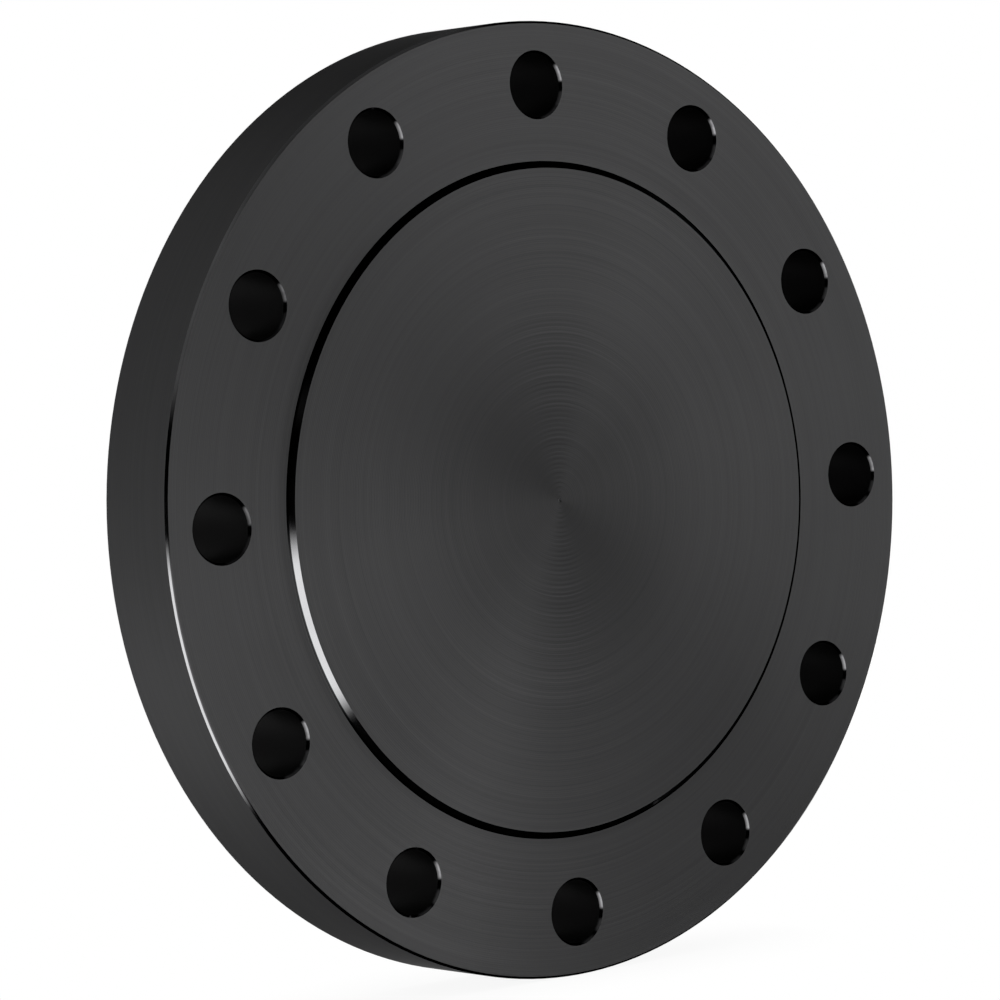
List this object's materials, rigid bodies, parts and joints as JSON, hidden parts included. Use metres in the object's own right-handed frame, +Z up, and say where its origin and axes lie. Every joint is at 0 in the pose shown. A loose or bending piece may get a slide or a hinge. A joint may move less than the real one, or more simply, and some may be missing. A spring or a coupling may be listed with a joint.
{
  "type": "blind flange",
  "caption": "Round steel blind flange with a raised gasket face and a ring of stud holes, for closing the end of a flanged pipe or valve.",
  "frame": {"origin": "centre of the raised gasket face", "axes": "+Y along the turning axis from the gasket face to the back, so the gasket face looks towards -Y; +Z up through one bolt hole; +X to the right seen from the gasket side"},
  "size_m": [0.381, 0.0413, 0.381],
  "materials": {
    "black_steel": "forged carbon steel, lathe-turned in fine concentric rings and finished thin black; smoother, glossier black on the machined bevels"
  },
  "bodies": {
    "root": {"flange_body": "black_steel"}
  },
  "joints": []
}
